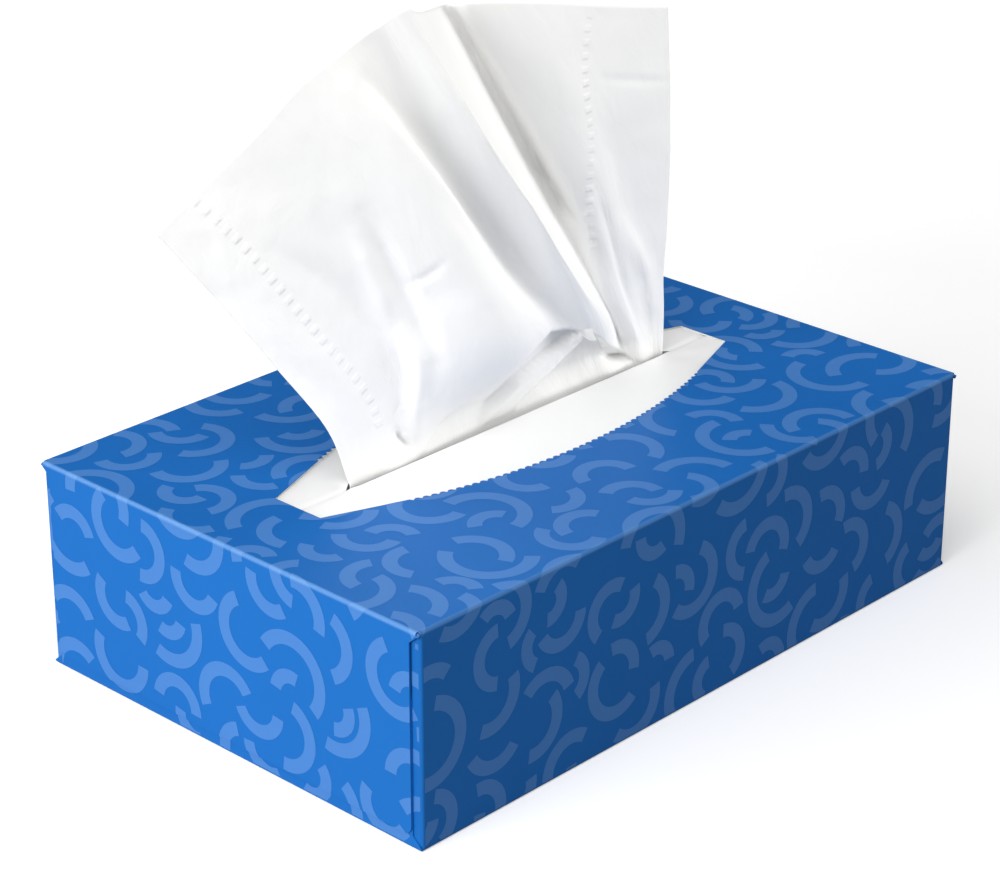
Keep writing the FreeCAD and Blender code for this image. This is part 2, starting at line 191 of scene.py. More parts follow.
# Carton: the folded board from the frame, printed blue outside, grey-white inside
carton = {
    "ground": (0.010, 0.137, 0.470),
    "arcs": (0.063, 0.207, 0.545),
    "creaseHighlight": (0.16, 0.33, 0.62),         # painted highlight on the creases
    "highlightShare": {"X": 0.55, "Y": 0.36},     # how much of it shows on the end and the long creases
    "highlightReach": (0.5, 1.2),            # mm from a fold, where the painted highlight starts to fade and where it ends
    "inside": (0.62, 0.62, 0.60),
    "clouding": (0.96, 1.04),           # darkest and lightest print
    "roughness": (0.37, 0.49),
    "specular": 0.10,
    "grain": (2200, 26),                # fibres and clouds
    "relief": (0.12, 0.00004),          # strength, and depth in metres
    "skin": 0.78,           # printed share of the board's thickness
    "mouthLip": 0.03,       # mm under the top, where the mouth's cut edge starts
    "mouthReach": (0.55, 0.6),          # of the mouth's length and width, where its cut edge lies
    "board": 0.45,          # mm
    "crease": 0.8,          # mm, outer radius of the folds
    "flapSideGap": 3.0,
    "flapBaseGap": 3.7,
    "flapCorner": 2.5,
    "flapRelief": 2.6,
}
low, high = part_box("carton")
halfLength, halfWidth, height = high[0] / mm, high[1] / mm, high[2] / mm
print("carton %.1f x %.1f x %.1f mm" % (2 * halfLength, 2 * halfWidth, height))


def printedBoard(name, colour, insideColour=None):
    material, nodes, links, shader = newMaterial(name)
    place = nodes.new("ShaderNodeTexCoord")
    grain = addGrain(nodes, links, place.outputs["Object"], *carton["grain"])
    dark, light = ([c * share for c in colour] for share in carton["clouding"])
    result = mixColours(nodes, links, grain.outputs["Cloud"], dark, light)
    # creases: painted highlight, the ink is lighter where the board folds over from the top
    split = nodes.new("ShaderNodeSeparateXYZ")
    links.new(place.outputs["Object"], split.inputs[0])
    drop = addMath(nodes, links, "SUBTRACT", height * mm, split.outputs["Z"])
    creases = []
    for axis, half in (("X", halfLength), ("Y", halfWidth)):
        size = addMath(nodes, links, "ABSOLUTE", split.outputs[axis])
        inset = addMath(nodes, links, "SUBTRACT", half * mm, size)
        reach = addMath(nodes, links, "MAXIMUM", inset, drop)
        ends = [distance * mm for distance in carton["highlightReach"]]
        creases.append(mapRange(nodes, links, reach, ends, (carton["highlightShare"][axis], 0)))
    # painted highlight: a lighter colour mixed in along the folds
    creaseHighlight = addMath(nodes, links, "MAXIMUM", *creases)
    result = mixColours(nodes, links, creaseHighlight, result, carton["creaseHighlight"])
    if insideColour:
        # the board's unprinted side: what lies within the outer faces
        margin = carton["skin"] * carton["board"] * mm
        reach = (halfLength * mm - margin - 2 * carton["board"] * mm, halfWidth * mm - margin)
        masks = []
        for axis, limit in zip("XY", reach):
            size = addMath(nodes, links, "ABSOLUTE", split.outputs[axis])
            masks.append(addMath(nodes, links, "LESS_THAN", size, limit))
        masks.append(addMath(nodes, links, "LESS_THAN", split.outputs["Z"], height * mm - margin))
        masks.append(addMath(nodes, links, "GREATER_THAN", split.outputs["Z"], margin))
        mask = masks[0]
        for other in masks[1:]:
            mask = addMath(nodes, links, "MULTIPLY", mask, other)
        # cut edge of the mouth
        lip = (height - carton["mouthLip"]) * mm
        cut = addMath(nodes, links, "LESS_THAN", split.outputs["Z"], lip)
        lengthShare, widthShare = carton["mouthReach"]
        for axis, reach in (("Y", mouth["width"] * widthShare), ("X", mouth["length"] * lengthShare)):
            size = addMath(nodes, links, "ABSOLUTE", split.outputs[axis])
            near = addMath(nodes, links, "LESS_THAN", size, reach * mm)
            cut = addMath(nodes, links, "MULTIPLY", cut, near)
        cut = addMath(nodes, links, "MULTIPLY", cut, masks[3])
        mask = addMath(nodes, links, "MAXIMUM", mask, cut)
        result = mixColours(nodes, links, mask, result, insideColour)
    links.new(result, shader.inputs["Base Color"])
    rough = mapRange(nodes, links, grain.outputs["Fibre"], (0, 1), carton["roughness"])
    links.new(rough, shader.inputs["Roughness"])
    shader.inputs["Specular IOR Level"].default_value = carton["specular"]
    addBump(nodes, links, grain.outputs["Fibre"], shader, carton["relief"])
    return material


# Print: arcs strewn over the flat blank, then folded round it
arcs = {
    "radii": (5.6, 7.2, 8.8, 10.6),     # mm, to the middle of the stroke
    "smallRadii": (4.8, 6.6),           # for the last tries, which fill what is left
    "smallSpan": 0.85,
    "stroke": 3.9,
    "gap": 0.8,
    "spans": (110, 200),                # degrees
    "tries": 90000,
    "largeUntil": 0.2,                  # share of the tries with the larger radii
    "smallFrom": 0.6,
    "border": 16,                       # mm round the blank, where an arc may still reach
    "over": 4,                          # mm, how far a centre may lie in the blank's empty corners
    "cells": 2,                         # to the mm, in the map of what is taken
    "checkStep": 1.5,                   # mm, between the points of an arc that are looked up
    "step": 1.2,                        # mm, between the points of its outline
    "lift": 0.03,                       # mm of ink over the board
    "creaseSteps": 8,
    "creaseInk": 0.15,                  # mm of ground ink past each end of a fold
    "seed": 24,
}
mouth = {       # mm
    "length": 157.0, "end": 16.4, "curveLength": 114.0, "curveEnd": 32.4, "width": 51.6,
    "nickDepth": 0.8,
}


def foldAlong(s, half):
    # distance along the blank from the middle of the top: place outwards, drop, normal
    r = carton["crease"]
    past = abs(s) - (half - r)
    quarter = math.pi * r / 2
    if past <= 0:
        return abs(s), 0.0, 0.0, 1.0
    if past < quarter:
        a = past / r
        return half - r + r * math.sin(a), r - r * math.cos(a), math.sin(a), math.cos(a)
    return half, r + past - quarter, 1.0, 0.0


def foldedPoint(u, v, sunk, lift):
    # a point of the flat print on the folded carton, in metres
    outX, dropX, normalX, upX = foldAlong(u, halfLength)
    outY, dropY, normalY, upY = foldAlong(v, halfWidth)
    if dropX > 0:
        x = math.copysign(outX - sunk + normalX * lift, u)
        return Vector((x, v, height - dropX + upX * lift)) * mm
    y = math.copysign(outY + normalY * lift, v)
    return Vector((u, y, height - dropY + upY * lift)) * mm


def arcOutline(arc):
    u, v, radius, start, span = arc
    steps = max(8, int(radius * span / arcs["step"]))
    outline = []
    for side, order in ((1, range(steps + 1)), (-1, range(steps, -1, -1))):
        r = radius + side * arcs["stroke"] / 2
        for i in order:
            a = start + span * i / steps
            outline.append((u + r * math.cos(a), v + r * math.sin(a)))
    return outline


def strewArcs():
    # dart throwing: a map of small cells holds what is already taken
    rng = random.Random(arcs["seed"])
    spanU, spanV = halfLength + height, halfWidth + height
    border, fine = arcs["border"], arcs["cells"]
    taken = np.zeros([int(2 * (span + border) * fine) for span in (spanU, spanV)], bool)
    reach = int((arcs["stroke"] + arcs["gap"]) * fine)
    disc = np.array([(i, j) for i in range(-reach, reach + 1) for j in range(-reach, reach + 1)
                     if i * i + j * j <= reach * reach])
    placed = []
    for attempt in range(arcs["tries"]):
        u, v = rng.uniform(-spanU, spanU), rng.uniform(-spanV, spanV)
        start = rng.uniform(0, 2 * math.pi)
        span = math.radians(rng.uniform(*arcs["spans"]))
        share = attempt / arcs["tries"]
        radius = rng.choice(arcs["radii"][1:] if share < arcs["largeUntil"] else arcs["radii"][:3])
        if share > arcs["smallFrom"]:
            radius, span = rng.uniform(*arcs["smallRadii"]), span * arcs["smallSpan"]
        if abs(u) > halfLength + arcs["over"] and abs(v) > halfWidth + arcs["over"]:
            continue
        angles = start + span * np.linspace(0, 1, max(5, int(radius * span / arcs["checkStep"])))
        points = np.stack([u + spanU + border + radius * np.cos(angles),
                           v + spanV + border + radius * np.sin(angles)], 1)
        cells = (points * fine).astype(int)
        if taken[cells[:, 0], cells[:, 1]].any():
            continue
        placed.append((u, v, radius, start, span))
        for cell in cells:
            spots = (cell + disc).clip(0, np.array(taken.shape) - 1)
            taken[spots[:, 0], spots[:, 1]] = True
    return placed


def mouthOutline(steps=40):
    half, endHalf = mouth["length"] / 2, mouth["end"] / 2
    bow, bowHalf = mouth["curveLength"] / 2, mouth["curveEnd"] / 2
    rise = mouth["width"] / 2 - bowHalf
    radius = (bow ** 2 + rise ** 2) / (2 * rise)
    centre = mouth["width"] / 2 - radius
    reach = math.asin(bow / radius)
    nicked = radius + mouth["nickDepth"]
    points = []
    for side in (-1, 1):
        points.append((side * half, side * endHalf))
        points.append((side * half, -side * endHalf))
        points.append((side * bow, -side * bowHalf))
        for i in range(1, steps):
            a = reach * (1 - 2 * i / steps)
            points.append((side * nicked * math.sin(a), -side * (centre + nicked * math.cos(a))))
        points.append((-side * bow, -side * bowHalf))
    return points


def printRegions():
    # parts of the flat blank that carry print: outline, and how far they lie under the face
    r, board = carton["crease"], carton["board"]
    quarter = math.pi * r / 2
    flatU, flatV = halfLength - r, halfWidth - r
    wallU = halfLength - 2 * board - r
    deepV = flatV + quarter + height - 2 * r
    foldEnd = flatU + quarter
    inset = halfWidth - carton["flapSideGap"]
    corner = carton["flapCorner"]
    base = foldEnd + height - r - carton["flapBaseGap"]
    bottom = foldEnd + height - 2 * r

    def box(u0, u1, v0, v1):
        return [(u0, v0), (u1, v0), (u1, v1), (u0, v1)]

    regions = [(box(-wallU, wallU, -deepV, deepV), 0.0)]
    for side in (-1, 1):
        regions.append((box(*sorted((side * wallU, side * foldEnd)), -flatV, flatV), 0.0))
        flap = [(foldEnd, -flatV), (foldEnd + carton["flapRelief"], -inset)]
        for turn in (-1, 1):
            for i in range(6):
                a = math.radians(i * 18)
                down = corner * (math.sin(a) if turn < 0 else math.cos(a))
                across = corner * (math.cos(a) if turn < 0 else math.sin(a))
                flap.append((base - corner + down, turn * (inset - corner + across)))
        flap += [(foldEnd + carton["flapRelief"], inset), (foldEnd, flatV)]
        regions.append(([(side * u, v) for u, v in flap], 0.0))
        strip = foldEnd + carton["flapRelief"]
        for turn in (-1, 1):
            edges = sorted((turn * inset, turn * flatV))
            regions.append((box(*sorted((side * strip, side * bottom)), *edges), 2 * board))
        regions.append((box(*sorted((side * base, side * bottom)), -inset, inset), board))
    return regions


def onCrease(point):
    # true where the ground's ink runs over a fold, so that it bends as finely as the arcs do
    quarter = math.pi * carton["crease"] / 2
    for place, half in zip(point, (halfLength, halfWidth)):
        past = abs(place) - (half - carton["crease"])
        if -arcs["creaseInk"] < past < quarter + arcs["creaseInk"]:
            return True
    return False


def addPrint():
    quarter = math.pi * carton["crease"] / 2
    points, edges, faces = [], [], []

    def addFace(outline):
        # the triangulation needs every outline to run counter-clockwise
        area = sum(a[0] * b[1] - b[0] * a[1] for a, b in zip(outline, outline[1:] + outline[:1]))
        first = len(points)
        points.extend(Vector(p) for p in (outline if area > 0 else outline[::-1]))
        faces.append(list(range(first, len(points))))

    placed = strewArcs()
    for arc in placed:
        addFace(arcOutline(arc))
    regions = printRegions()
    for outline, depth in regions:
        addFace(outline)
    addFace(mouthOutline())
    far = halfLength + height
    for half, alongU in ((halfLength, True), (halfWidth, False)):
        for side in (-1, 1):
            for i in range(arcs["creaseSteps"] + 1):
                place = side * (half - carton["crease"] + quarter * i / arcs["creaseSteps"])
                pair = ((place, -far), (place, far)) if alongU else ((-far, place), (far, place))
                edges.append((len(points), len(points) + 1))
                points.extend(Vector(p) for p in pair)
    # triangles inside the outlines, each with the outlines it lies in: arcs, regions, mouth
    flat = geometry.delaunay_2d_cdt(points, edges, faces, 1, 1e-5, True)
    verts, triangles, origins = flat[0], flat[2], flat[5]
    arcCount, regionEnd = len(placed), len(placed) + len(regions)
    mesh = bmesh.new()
    made = {}
    for triangle, origin in zip(triangles, origins):
        onArc = any(o < arcCount for o in origin)
        middle = sum((verts[i] for i in triangle), Vector((0, 0))) / 3
        if any(o >= regionEnd for o in origin) or not (onArc or onCrease(middle)):
            continue
        inRegions = [o - arcCount for o in origin if arcCount <= o < regionEnd]
        if not inRegions:
            continue
        sunk = min(regions[i][1] for i in inRegions)
        corners = []
        for i in triangle:
            if (i, sunk) not in made:
                u, v = verts[i]
                made[(i, sunk)] = mesh.verts.new(foldedPoint(u, v, sunk, arcs["lift"]))
            corners.append(made[(i, sunk)])
        if len(set(corners)) == 3:
            mesh.faces.new(corners).material_index = 0 if onArc else 1
    bmesh.ops.recalc_face_normals(mesh, faces=mesh.faces)
    for face in mesh.faces:
        outwards = face.calc_center_median() - Vector((0, 0, height * mm / 2))
        if face.normal.dot(outwards) < 0:
            face.normal_flip()
    data = meshFrom(mesh, "printedArcs")
    inks = (printedBoard("arcInk", carton["arcs"]), printedBoard("creaseInk", carton["ground"]))
    piece = newPiece("printedArcs", data, *inks)
    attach(piece, "root")
    print("print: %d arcs, %d triangles" % (len(placed), len(data.polygons)))


def dressCarton():
    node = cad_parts["carton"]
    node.data.materials.clear()
    node.data.materials.append(printedBoard("printedBoard", carton["ground"], carton["inside"]))
    print("carton dressed")


# Raised tissue: ribs run from the slit to the top edge, as in the solid part
tissue = {
    "drawnWidth": 196.0,    # mm, width of the sheet that the ribs are drawn for
    "thickness": 0.16,      # mm
    "columns": 251,
    "rows": 141,
    "heightSteps": 4,       # from the slit to the top edge, along a rib
    "slitLength": 128.0, "footClearance": 3.2, "slitWidth": 3.2,    # mm
    "footPlay": 0.5, "footRise": 0.3,   # mm, room beside the foot in the slit, and its level
    "length": 251.0,        # flat length of the whole sheet
    "calmFoot": 0.12,       # share of the height in which the wrinkles begin
    "foldsFrom": 0.004, "foldsRise": 0.05,      # the same for the drawn folds
    "colour": (0.935, 0.93, 0.912),
    "shade": 0.985,
    "roughness": 0.95, "specular": 0.15,
    "grain": (1500, 60),
    "crinkle": {"Scale": 13, "Detail": 4, "Roughness": 0.5, "Distortion": 0.5},
    "crinkleStretch": (1.0, 0.45, 1.0),
    "heights": {"fibre": 0.04, "crinkle": 0.6, "dash": 0.42},
    "relief": (0.75, 0.001),
    "dash": 3.6, "dashWidth": 2.5,      # mm, embossed rows near both edges
    "dashSoft": (0.7, 0.5),             # mm, how softly a dash ends inside and outside its edge
    "dashWave": (-0.5, 0.9),            # from the bare to the pressed part of a wave
    "dashReach": 4, "dashMargin": 0.3,  # mm to the sides and at the ends of a row
}
# fine unevenness of soft paper: size and depth in mm, and seed
wrinkles = {
    "layers": ((28, 0.55, 3), (9, 0.22, 8), (3.5, 0.07, 5)),
    "width": 190, "height": 112,        # mm
    "stretch": 1.7,
}
# folds drawn on the sheet: depth towards the viewer in mm, width in mm, then points given as
# rib number and height step
folds = [
    (-2.0, 4.0, [(4.33, 3.70), (4.50, 3.46), (4.88, 2.96), (4.98, 2.27), (5.08, 1.44), (5.4, 0.9)]),
    (1.0, 3.5, [(3.95, 3.75), (4.15, 3.30), (4.40, 2.75), (4.5, 2.1)]),
    (-1.3, 3.6, [(2.62, 2.78), (2.60, 2.51), (2.58, 1.89), (2.68, 1.18)]),
    (0.8, 2.6, [(2.25, 2.6), (2.2, 2.0), (2.15, 1.7)]),
    (-0.4, 1.5, [(2.70, 2.05), (3.48, 2.11)]),
    (1.8, 3.2, [(2.23, 1.52), (2.38, 1.19), (2.25, 0.75), (2.3, 0.35)]),
    (-2.0, 1.5, [(1.85, 0.42), (2.1, 0.25), (2.3, 0.12)]),
    (1.8, 4.0, [(10.65, 1.68), (11.2, 1.19), (11.3, 0.65), (11.3, 0.25)]),
    (-1.2, 2.6, [(9.9, 2.2), (10.1, 1.4), (10.3, 0.5)]),
    (-0.25, 1.4, [(10.88, 3.31), (11.98, 3.19)]),
    (3.2, 3.4, [(8.05, 2.5), (8.58, 1.99), (8.85, 1.21), (8.9, 0.55)]),
    (-0.9, 4.0, [(1.3, 2.9), (1.7, 2.2), (1.9, 1.3)]),
    (0.7, 5.0, [(0.5, 2.7), (0.75, 1.8), (0.9, 0.9)]),
    (-0.8, 3.0, [(6.3, 3.95), (6.25, 3.2), (6.2, 2.5)]),
]
foldForm = {"sharpness": 1.4, "endShare": 0.25, "endDepth": 0.35}
# hollow above the slit, and the strip folded across it
hollow = {
    "edge": [(2.6, 0.0), (2.85, 0.40), (3.30, 0.54), (3.95, 0.70), (4.93, 0.94), (5.8, 0.76),
             (7.4, 0.45), (9.1, 0.0)],
    "depth": 3.6, "blend": 1.6, "stepHeight": 27.0,     # mm
    "strip": [(5.8, 0.75), (4.9, 0.50), (4.2, 0.28), (3.8, 0.0)],
    "stripRise": 3.3, "stripWidth": (1.0, 4.6), "stripEdge": 0.35,
}
dashRows = [
    [(0.98, 3.98), (1.03, 3.35), (1.03, 2.5), (1.1, 1.74), (1.3, 0.5)],
    [(10.83, 3.93), (10.5, 3.3), (10.23, 2.78), (9.6, 2.1), (9.1, 1.6)],
]
ribs = [
    (-0.99, 0.2, (-64.5, 4, 16), (-73.5, 12, 33), (-84, 20, 51), (-96.5, 28, 70.5)),
    (-0.83, 0.0, (-53, 3, 19), (-63, 9, 39), (-75, 16, 60), (-88, 24, 79)),
    (-0.70, -0.8, (-41, 1, 23), (-47, 6, 46), (-58, 12, 71), (-71, 19, 92)),
    (-0.43, 0.4, (-27, -6, 23), (-33, -1, 47), (-45, 6, 75), (-61, 15, 102)),
    (-0.02, 1.0, (-10, -9, 25), (-21, -5, 51), (-35, 2, 79), (-51, 12, 108.5)),
    (0.36, 1.0, (12, -3, 23), (0, 2, 45), (-20, 5, 76), (-39, 11, 113.5)),
    (0.56, 0.6, (22, -7, 24), (6, -7, 50), (-14, -3, 83), (-33, 6, 118)),
    (0.66, 0.0, (31, -5, 19), (16, -4, 40), (-4, 0, 73), (-25.5, 8, 115)),
    (0.76, 0.8, (43, 5, 16), (37, 13, 39), (19, 16, 69), (-5, 20, 110)),
    (0.82, 0.2, (41.5, 2, 20), (30.5, 5, 47), (17, 10, 76), (-1, 15, 111)),
    (0.87, -0.5, (43, 0, 25), (36, 1, 51), (29, 4, 77), (19, 9, 108)),
    (0.95, 0.3, (54, 2, 20), (48, 3, 48), (41, 4, 75), (39, 6, 103.5)),
    (1.0, 0.0, (61.5, 1, 21), (64.5, 2, 43.5), (65, 3, 72), (64.5, 4, 98)),
]
# hidden half of the sheet, on the pile; in mm
lying = {
    "layGap": 0.1, "ply": 0.4, "fold": 0.6, "bend": 3.5, "return": 72.0,
    "sideMargin": 0.8, "rearMargin": 3.6, "slitDrop": 0.45,
    "spreadAtBend": 0.06,   # share of the full width that the sheet has reached at the bend
}


def smoothStep(share):
    return share * share * (3 - 2 * share)


def smoothThrough(points, places):
    # smooth line through control points along the first axis of an array
    last = len(points) - 1
    padded = np.concatenate([[2 * points[0] - points[1]], points, [2 * points[-1] - points[-2]]])
    i = np.clip(np.floor(places).astype(int), 0, last - 1)
    f = (places - i).reshape((-1,) + (1,) * (points.ndim - 1))
    p0, p1, p2, p3 = (padded[i + k] for k in range(4))
    ease = 2 * p0 - 5 * p1 + 4 * p2 - p3
    return p1 + 0.5 * ((p2 - p0) * f + ease * f ** 2 + (3 * (p1 - p2) + p3 - p0) * f ** 3)


def raisedGrid():
    pileLow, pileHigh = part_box("tissue_stack")
    scale = (pileHigh[0] - pileLow[0]) / mm / tissue["drawnWidth"]
    halfFoot = tissue["slitLength"] / 2 - tissue["footClearance"]
    sway = tissue["slitWidth"] / 2 - tissue["footPlay"]
    footLevel = height - carton["board"] + tissue["footRise"]
    control = []
    for along, lean, *points in ribs:
        row = [(along * halfFoot, lean * sway, footLevel)]
        row += [(x * scale, y * scale, height + z * scale) for x, y, z in points]
        control.append(row)
    control = np.array(control, float)
    wide = smoothThrough(control, np.linspace(0, len(ribs) - 1, tissue["columns"]))
    levels = np.linspace(0, tissue["heightSteps"], tissue["rows"])
    tall = smoothThrough(np.moveaxis(wide, 1, 0), levels)
    return np.moveaxis(tall, 1, 0)      # columns x rows x 3


def lyingRows(foot, top):
    # hidden lower half: down through the slit, back over the pile, then folded under
    pileLow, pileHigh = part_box("tissue_stack")
    run = np.concatenate([[0], np.cumsum(np.linalg.norm(np.diff(top, axis=0), axis=1))])
    width = (pileHigh[0] - pileLow[0]) / mm - lying["sideMargin"]
    spread = width * (run / run[-1] - 0.5)
    lower = pileHigh[2] / mm + lying["layGap"] + lying["ply"] / 2
    fold, bend, started = lying["fold"], lying["bend"], lying["spreadAtBend"]
    upper = lower + 2 * fold
    rear = pileHigh[1] / mm - lying["rearMargin"]
    # share of the foot's wave that is kept, place in Y and Z, and share of the full width
    path = [(1, 0, height - carton["board"] - lying["slitDrop"], 0), (0.5, 0, upper + bend, 0)]
    for i in range(1, 7):
        a = math.radians(15 * i)
        y, z = bend * (1 - math.cos(a)), upper + bend * (1 - math.sin(a))
        path.append((0, y, z, started * i / 6))
    for i in range(1, 13):
        share = i / 12
        path.append((0, bend + (rear - bend) * share, upper, started + (1 - started) * share))
    for i in range(1, 7):
        a = math.radians(30 * i)
        path.append((0, rear + fold * math.sin(a), lower + fold + fold * math.cos(a), 1))
    for i in range(1, 9):
        path.append((0, rear - lying["return"] * i / 8, lower, 1))
    rows = []
    for kept, y, z, share in path:
        row = np.empty((len(foot), 3))
        row[:, 0] = foot[:, 0] * (1 - share) + spread * share
        row[:, 1] = y + kept * foot[:, 1]
        row[:, 2] = z
        rows.append(row)
    return np.array(rows)


def gridNormals(points):
    along = np.gradient(points, axis=0)
    up = np.gradient(points, axis=1)
    normal = np.cross(along, up)
    return normal / np.linalg.norm(normal, axis=2, keepdims=True)


def wrinkle(columns, rows):
    # stretched along the folds
    field = np.zeros((columns, rows))
    for size, depth, seed in wrinkles["layers"]:
        for i in range(columns):
            for j in range(rows):
                x = i * wrinkles["width"] / columns / size
                y = j * wrinkles["height"] / rows / (size * wrinkles["stretch"])
                field[i, j] += depth * noise.noise(Vector((x, y, seed)))
    return field


def onSheet(grid, marks):
    # places of marks (rib number, height step) on the sheet, close together
    fine = []
    for first, second in zip(marks, marks[1:]):
        for k in range(8):
            fine.append([a + (b - a) * k / 8 for a, b in zip(first, second)])
    fine = np.array(fine + [marks[-1]])
    columns, rows = grid.shape[:2]
    i = fine[:, 0] / (len(ribs) - 1) * (columns - 1)
    j = fine[:, 1] / tissue["heightSteps"] * (rows - 1)
    i0, j0 = np.floor(i).astype(int).clip(0, columns - 2), np.floor(j).astype(int).clip(0, rows - 2)
    a, b = (i - i0)[:, None], (j - j0)[:, None]
    return ((1 - a) * (1 - b) * grid[i0, j0] + a * (1 - b) * grid[i0 + 1, j0]
            + (1 - a) * b * grid[i0, j0 + 1] + a * b * grid[i0 + 1, j0 + 1])


def fromStroke(grid, marks):
    # distance of each grid point from a drawn line, and how far along the line it lies
    line = onSheet(grid, marks)
    away = np.full(grid.shape[:2], 1e9)
    along = np.zeros(grid.shape[:2])
    run = 0.0
    for first, second in zip(line, line[1:]):
        step = second - first
        length = np.linalg.norm(step)
        share = ((grid - first) @ step / length ** 2).clip(0, 1)
        distance = np.linalg.norm(grid - first - share[..., None] * step, axis=2)
        nearer = distance < away
        away[nearer] = distance[nearer]
        along[nearer] = run + share[nearer] * length
        run += length
    return away, along, run


def drawnFolds(grid):
    columns, rows = grid.shape[:2]
    field = np.zeros((columns, rows))
    sharpness, endDepth = foldForm["sharpness"], foldForm["endDepth"]
    for depth, width, marks in folds:
        away, along, total = fromStroke(grid, marks)
        ends = (np.minimum(along, total - along) / (foldForm["endShare"] * total)).clip(0, 1)
        profile = np.exp(-(away / width) ** 2 * sharpness)
        field += depth * profile * (endDepth + (1 - endDepth) * ends)
    # hollow: signed side of its upper edge, from the height of the edge at each column
    place = np.linspace(0, len(ribs) - 1, columns)
    marks = np.array(hollow["edge"])
    edge = np.interp(place, marks[:, 0], marks[:, 1], left=-1, right=-1)
    level = np.linspace(0, tissue["heightSteps"], rows)[None, :]
    below = (edge[:, None] - level) * hollow["stepHeight"]
    field -= hollow["depth"] * smoothStep((below / hollow["blend"]).clip(0, 1))
    away, along, total = fromStroke(grid, hollow["strip"])
    narrow, wide = hollow["stripWidth"]
    width = narrow + (wide - narrow) * along / total
    soft = hollow["stripEdge"]
    strip = (1 + soft - away / width).clip(0, soft) / soft
    field += hollow["stripRise"] * smoothStep(strip)
    return field


def addTissue():
    grid = raisedGrid()
    columns, rows = grid.shape[:2]
    up = np.linspace(0, 1, rows)[None, :]
    calm = np.clip(up / tissue["calmFoot"], 0, 1)
    foot = np.clip((up - tissue["foldsFrom"]) / tissue["foldsRise"], 0, 1)
    field = wrinkle(columns, rows) * calm + drawnFolds(grid) * foot
    grid = grid + gridNormals(grid) * field[..., None]
    hiddenRows = lyingRows(grid[:, 0], grid[:, -1])
    full = np.concatenate([np.moveaxis(hiddenRows[::-1], 0, 1), grid], axis=1)
    count = full.shape[1]
    verts = (full * mm).reshape(-1, 3)
    faces = [
        (i * count + j, (i + 1) * count + j, (i + 1) * count + j + 1, i * count + j + 1)
        for i in range(columns - 1) for j in range(count - 1)
    ]
    data = bpy.data.meshes.new("raisedTissue")
    data.from_pydata(verts.tolist(), [], faces)
    # the sheet's own coordinates, in tenths of a metre: across, and up from the slit
    layer = data.uv_layers.new(name="sheet")
    measured = full[columns // 3]
    steps = np.linalg.norm(np.diff(measured, axis=0), axis=1)
    run = np.concatenate([[0], np.cumsum(steps)])
    across = np.linspace(0, tissue["drawnWidth"], columns) / 100
    upwards = (run - run[len(hiddenRows)]) / 100
    for polygon in data.polygons:
        for loop in polygon.loop_indices:
            i, j = divmod(data.loops[loop].vertex_index, count)
            layer.data[loop].uv = (across[i], upwards[j])
    # how far each point lies from an embossed row, and where along it, in mm
    stitches = np.zeros((columns, count, 3))
    stitches[..., 0] = 99       # far from any row
    shown = stitches[:, -rows:]
    margin = tissue["dashMargin"]
    for row in dashRows:
        away, along, total = fromStroke(grid, row)
        tight = (away < tissue["dashReach"]) & (along > margin) & (along < total - margin)
        shown[tight, 0] = away[tight]
        shown[tight, 1] = along[tight]
    marks = data.attributes.new("stitches", "FLOAT_VECTOR", "POINT")
    marks.data.foreach_set("vector", stitches.reshape(-1))
    piece = newPiece("raisedTissue", data, tissuePaper())
    smoothShell(piece, tissue["thickness"], 0)
    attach(piece, "root")
    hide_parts("raised_tissue")
    print("tissue: %d faces" % len(piece.data.polygons))
    return piece


def tissuePaper():
    material, nodes, links, shader = newMaterial("tissuePaper")
    place = nodes.new("ShaderNodeTexCoord")
    grain = addGrain(nodes, links, place.outputs["Object"], *tissue["grain"])
    shaded = [c * tissue["shade"] for c in tissue["colour"]]
    colour = mixColours(nodes, links, grain.outputs["Fibre"], shaded, tissue["colour"])
    links.new(colour, shader.inputs["Base Color"])
    shader.inputs["Roughness"].default_value = tissue["roughness"]
    shader.inputs["Specular IOR Level"].default_value = tissue["specular"]
    # soft crinkles that run up the sheet
    sheet = nodes.new("ShaderNodeUVMap")
    sheet.uv_map = "sheet"
    stretch = nodes.new("ShaderNodeMapping")
    stretch.inputs["Scale"].default_value = tissue["crinkleStretch"]
    links.new(sheet.outputs["UV"], stretch.inputs["Vector"])
    crinkle = nodes.new("ShaderNodeTexNoise")
    for name, value in tissue["crinkle"].items():
        crinkle.inputs[name].default_value = value
    links.new(stretch.outputs["Vector"], crinkle.inputs["Vector"])
    # embossed dashes: across and along each row
    marks = nodes.new("ShaderNodeAttribute")
    marks.attribute_name = "stitches"
    split = nodes.new("ShaderNodeSeparateXYZ")
    links.new(marks.outputs["Vector"], split.inputs[0])
    half, (within, beyond) = tissue["dashWidth"] / 2, tissue["dashSoft"]
    ends = (half - within, half + beyond)
    across = mapRange(nodes, links, split.outputs["X"], ends, (1, 0), "SMOOTHSTEP")
    turn = addMath(nodes, links, "MULTIPLY", split.outputs["Y"], 2 * math.pi / tissue["dash"])
    wave = addMath(nodes, links, "SINE", turn)
    ticks = mapRange(nodes, links, wave, tissue["dashWave"], kind="SMOOTHSTEP")
    dashes = addMath(nodes, links, "MULTIPLY", across, ticks)
    heights = tissue["heights"]
    fibres = addMath(nodes, links, "MULTIPLY", grain.outputs["Fibre"], heights["fibre"])
    folded = addMath(nodes, links, "MULTIPLY", crinkle.outputs["Fac"], heights["crinkle"])
    uneven = addMath(nodes, links, "MULTIPLY", grain.outputs["Cloud"], heights["dash"])
    pressed = addMath(nodes, links, "MULTIPLY", dashes, uneven)
    relief = addMath(nodes, links, "ADD", addMath(nodes, links, "ADD", fibres, folded), pressed)
    addBump(nodes, links, relief, shader, tissue["relief"])
    return material


